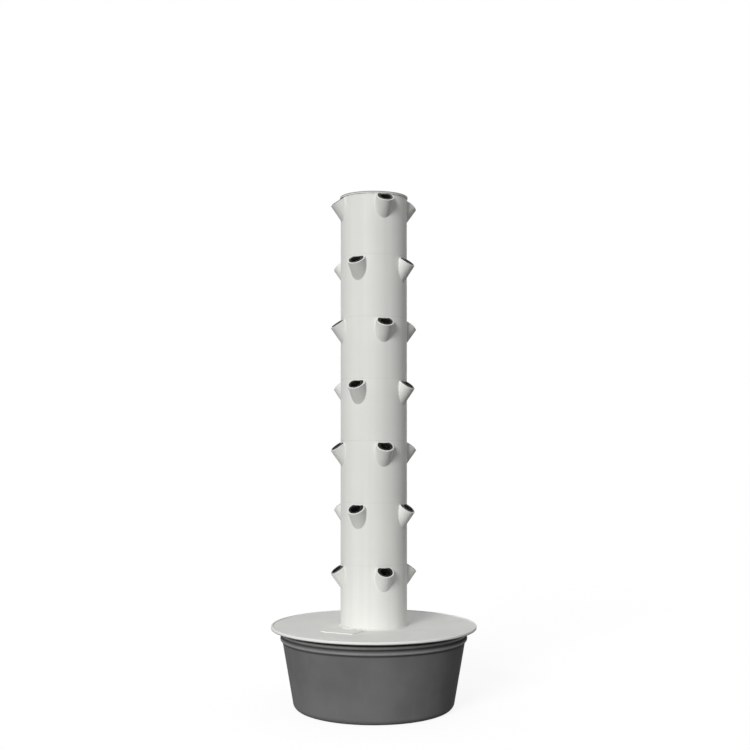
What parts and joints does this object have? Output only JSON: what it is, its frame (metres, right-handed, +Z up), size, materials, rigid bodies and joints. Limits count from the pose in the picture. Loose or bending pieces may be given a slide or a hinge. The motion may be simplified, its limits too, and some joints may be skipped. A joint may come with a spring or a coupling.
{
  "type": "hydroponic tower",
  "caption": "Vertical hydroponic tower: a column of stacked sections with tilted net-cup pockets on a lidded round reservoir, fed by a pump and pipe inside.",
  "frame": {"origin": "on the floor under the tower's axis, in the middle of the reservoir's flat bottom", "axes": "+Z up along the tower; the lowest tier's pockets point along +X, +Y, -X and -Y, and the hatch in the lid lies towards -X and -Y"},
  "size_m": [0.672, 0.672, 1.6735],
  "materials": {
    "charcoal_plastic": "satin moulded",
    "pale_plastic": "satin moulded",
    "tower_plastic": "satin moulded",
    "cup_plastic": "satin moulded",
    "pipe_plastic": "smooth extruded",
    "pump_plastic": "satin moulded",
    "impeller_plastic": "satin moulded",
    "soft_rubber": "matt",
    "shaft_steel": "ground"
  },
  "bodies": {
    "reservoir": {"reservoir": "charcoal_plastic", "feed_pipe_lower": "pipe_plastic", "feed_pipe_middle": "pipe_plastic", "feed_pipe_upper": "pipe_plastic", "pipe_coupling_lower": "pipe_plastic", "pipe_coupling_upper": "pipe_plastic", "distributor_head": "pale_plastic", "pump_housing": "pump_plastic", "pump_volute_cover": "pump_plastic", "pump_strainer": "pump_plastic", "pump_shaft": "shaft_steel", "pump_outlet_adapter": "pump_plastic", "pump_feet": "soft_rubber", "pump_cable_gland": "soft_rubber"},
    "lid": {"reservoir_lid": "pale_plastic", "pipe_guide": "pale_plastic", "cable_grommet": "soft_rubber"},
    "hatch": {"access_hatch": "pale_plastic"},
    "impeller": {"pump_impeller": "impeller_plastic"},
    "base_section": {"base_section": "tower_plastic"},
    "tower_section_1": {"tower_section_1": "tower_plastic"},
    "tower_section_2": {"tower_section_2": "tower_plastic"},
    "tower_section_3": {"tower_section_3": "tower_plastic"},
    "tower_section_4": {"tower_section_4": "tower_plastic"},
    "tower_section_5": {"tower_section_5": "tower_plastic"},
    "tower_section_6": {"tower_section_6": "tower_plastic"},
    "top_cap": {"top_cap": "tower_plastic"},
    "net_cup_t1_1": {"net_cup_t1_1": "cup_plastic"},
    "net_cup_t1_2": {"net_cup_t1_2": "cup_plastic"},
    "net_cup_t1_3": {"net_cup_t1_3": "cup_plastic"},
    "net_cup_t1_4": {"net_cup_t1_4": "cup_plastic"},
    "net_cup_t2_1": {"net_cup_t2_1": "cup_plastic"},
    "net_cup_t2_2": {"net_cup_t2_2": "cup_plastic"},
    "net_cup_t2_3": {"net_cup_t2_3": "cup_plastic"},
    "net_cup_t2_4": {"net_cup_t2_4": "cup_plastic"},
    "net_cup_t3_1": {"net_cup_t3_1": "cup_plastic"},
    "net_cup_t3_2": {"net_cup_t3_2": "cup_plastic"},
    "net_cup_t3_3": {"net_cup_t3_3": "cup_plastic"},
    "net_cup_t3_4": {"net_cup_t3_4": "cup_plastic"},
    "net_cup_t4_1": {"net_cup_t4_1": "cup_plastic"},
    "net_cup_t4_2": {"net_cup_t4_2": "cup_plastic"},
    "net_cup_t4_3": {"net_cup_t4_3": "cup_plastic"},
    "net_cup_t4_4": {"net_cup_t4_4": "cup_plastic"},
    "net_cup_t5_1": {"net_cup_t5_1": "cup_plastic"},
    "net_cup_t5_2": {"net_cup_t5_2": "cup_plastic"},
    "net_cup_t5_3": {"net_cup_t5_3": "cup_plastic"},
    "net_cup_t5_4": {"net_cup_t5_4": "cup_plastic"},
    "net_cup_t6_1": {"net_cup_t6_1": "cup_plastic"},
    "net_cup_t6_2": {"net_cup_t6_2": "cup_plastic"},
    "net_cup_t6_3": {"net_cup_t6_3": "cup_plastic"},
    "net_cup_t6_4": {"net_cup_t6_4": "cup_plastic"},
    "net_cup_t7_1": {"net_cup_t7_1": "cup_plastic"},
    "net_cup_t7_2": {"net_cup_t7_2": "cup_plastic"},
    "net_cup_t7_3": {"net_cup_t7_3": "cup_plastic"},
    "net_cup_t7_4": {"net_cup_t7_4": "cup_plastic"}
  },
  "joints": [
    {"name": "lid_lift", "type": "slide", "parent": "reservoir", "child": "lid", "axis": [0, 0, 1], "range_m": [0, 0.08]},
    {"name": "hatch_lift", "type": "slide", "parent": "lid", "child": "hatch", "axis": [0, 0, 1], "range_m": [0, 0.06]},
    {"name": "impeller_spin", "type": "hinge", "parent": "reservoir", "child": "impeller", "pos_m": [0, 0, 0.048], "axis": [0, 1, 0], "continuous": true},
    {"name": "base_section_lift", "type": "slide", "parent": "lid", "child": "base_section", "axis": [0, 0, 1], "range_m": [0, 0.06]},
    {"name": "tower_section_1_lift", "type": "slide", "parent": "base_section", "child": "tower_section_1", "axis": [0, 0, 1], "range_m": [0, 0.06]},
    {"name": "tower_section_2_lift", "type": "slide", "parent": "tower_section_1", "child": "tower_section_2", "axis": [0, 0, 1], "range_m": [0, 0.06]},
    {"name": "tower_section_3_lift", "type": "slide", "parent": "tower_section_2", "child": "tower_section_3", "axis": [0, 0, 1], "range_m": [0, 0.06]},
    {"name": "tower_section_4_lift", "type": "slide", "parent": "tower_section_3", "child": "tower_section_4", "axis": [0, 0, 1], "range_m": [0, 0.06]},
    {"name": "tower_section_5_lift", "type": "slide", "parent": "tower_section_4", "child": "tower_section_5", "axis": [0, 0, 1], "range_m": [0, 0.06]},
    {"name": "tower_section_6_lift", "type": "slide", "parent": "tower_section_5", "child": "tower_section_6", "axis": [0, 0, 1], "range_m": [0, 0.06]},
    {"name": "top_cap_lift", "type": "slide", "parent": "tower_section_6", "child": "top_cap", "axis": [0, 0, 1], "range_m": [0, 0.06]},
    {"name": "cup_t1_1_pull", "type": "slide", "parent": "base_section", "child": "net_cup_t1_1", "axis": [0.5736, 0, 0.8192], "range_m": [0, 0.065]},
    {"name": "cup_t1_2_pull", "type": "slide", "parent": "base_section", "child": "net_cup_t1_2", "axis": [0, 0.5736, 0.8192], "range_m": [0, 0.065]},
    {"name": "cup_t1_3_pull", "type": "slide", "parent": "base_section", "child": "net_cup_t1_3", "axis": [-0.5736, 0, 0.8192], "range_m": [0, 0.065]},
    {"name": "cup_t1_4_pull", "type": "slide", "parent": "base_section", "child": "net_cup_t1_4", "axis": [0, -0.5736, 0.8192], "range_m": [0, 0.065]},
    {"name": "cup_t2_1_pull", "type": "slide", "parent": "tower_section_1", "child": "net_cup_t2_1", "axis": [0.4056, 0.4056, 0.8192], "range_m": [0, 0.065]},
    {"name": "cup_t2_2_pull", "type": "slide", "parent": "tower_section_1", "child": "net_cup_t2_2", "axis": [-0.4056, 0.4056, 0.8192], "range_m": [0, 0.065]},
    {"name": "cup_t2_3_pull", "type": "slide", "parent": "tower_section_1", "child": "net_cup_t2_3", "axis": [-0.4056, -0.4056, 0.8192], "range_m": [0, 0.065]},
    {"name": "cup_t2_4_pull", "type": "slide", "parent": "tower_section_1", "child": "net_cup_t2_4", "axis": [0.4056, -0.4056, 0.8192], "range_m": [0, 0.065]},
    {"name": "cup_t3_1_pull", "type": "slide", "parent": "tower_section_2", "child": "net_cup_t3_1", "axis": [0.5736, 0, 0.8192], "range_m": [0, 0.065]},
    {"name": "cup_t3_2_pull", "type": "slide", "parent": "tower_section_2", "child": "net_cup_t3_2", "axis": [0, 0.5736, 0.8192], "range_m": [0, 0.065]},
    {"name": "cup_t3_3_pull", "type": "slide", "parent": "tower_section_2", "child": "net_cup_t3_3", "axis": [-0.5736, 0, 0.8192], "range_m": [0, 0.065]},
    {"name": "cup_t3_4_pull", "type": "slide", "parent": "tower_section_2", "child": "net_cup_t3_4", "axis": [0, -0.5736, 0.8192], "range_m": [0, 0.065]},
    {"name": "cup_t4_1_pull", "type": "slide", "parent": "tower_section_3", "child": "net_cup_t4_1", "axis": [0.4056, 0.4056, 0.8192], "range_m": [0, 0.065]},
    {"name": "cup_t4_2_pull", "type": "slide", "parent": "tower_section_3", "child": "net_cup_t4_2", "axis": [-0.4056, 0.4056, 0.8192], "range_m": [0, 0.065]},
    {"name": "cup_t4_3_pull", "type": "slide", "parent": "tower_section_3", "child": "net_cup_t4_3", "axis": [-0.4056, -0.4056, 0.8192], "range_m": [0, 0.065]},
    {"name": "cup_t4_4_pull", "type": "slide", "parent": "tower_section_3", "child": "net_cup_t4_4", "axis": [0.4056, -0.4056, 0.8192], "range_m": [0, 0.065]},
    {"name": "cup_t5_1_pull", "type": "slide", "parent": "tower_section_4", "child": "net_cup_t5_1", "axis": [0.5736, 0, 0.8192], "range_m": [0, 0.065]},
    {"name": "cup_t5_2_pull", "type": "slide", "parent": "tower_section_4", "child": "net_cup_t5_2", "axis": [0, 0.5736, 0.8192], "range_m": [0, 0.065]},
    {"name": "cup_t5_3_pull", "type": "slide", "parent": "tower_section_4", "child": "net_cup_t5_3", "axis": [-0.5736, 0, 0.8192], "range_m": [0, 0.065]},
    {"name": "cup_t5_4_pull", "type": "slide", "parent": "tower_section_4", "child": "net_cup_t5_4", "axis": [0, -0.5736, 0.8192], "range_m": [0, 0.065]},
    {"name": "cup_t6_1_pull", "type": "slide", "parent": "tower_section_5", "child": "net_cup_t6_1", "axis": [0.4056, 0.4056, 0.8192], "range_m": [0, 0.065]},
    {"name": "cup_t6_2_pull", "type": "slide", "parent": "tower_section_5", "child": "net_cup_t6_2", "axis": [-0.4056, 0.4056, 0.8192], "range_m": [0, 0.065]},
    {"name": "cup_t6_3_pull", "type": "slide", "parent": "tower_section_5", "child": "net_cup_t6_3", "axis": [-0.4056, -0.4056, 0.8192], "range_m": [0, 0.065]},
    {"name": "cup_t6_4_pull", "type": "slide", "parent": "tower_section_5", "child": "net_cup_t6_4", "axis": [0.4056, -0.4056, 0.8192], "range_m": [0, 0.065]},
    {"name": "cup_t7_1_pull", "type": "slide", "parent": "tower_section_6", "child": "net_cup_t7_1", "axis": [0.5736, 0, 0.8192], "range_m": [0, 0.065]},
    {"name": "cup_t7_2_pull", "type": "slide", "parent": "tower_section_6", "child": "net_cup_t7_2", "axis": [0, 0.5736, 0.8192], "range_m": [0, 0.065]},
    {"name": "cup_t7_3_pull", "type": "slide", "parent": "tower_section_6", "child": "net_cup_t7_3", "axis": [-0.5736, 0, 0.8192], "range_m": [0, 0.065]},
    {"name": "cup_t7_4_pull", "type": "slide", "parent": "tower_section_6", "child": "net_cup_t7_4", "axis": [0, -0.5736, 0.8192], "range_m": [0, 0.065]}
  ]
}
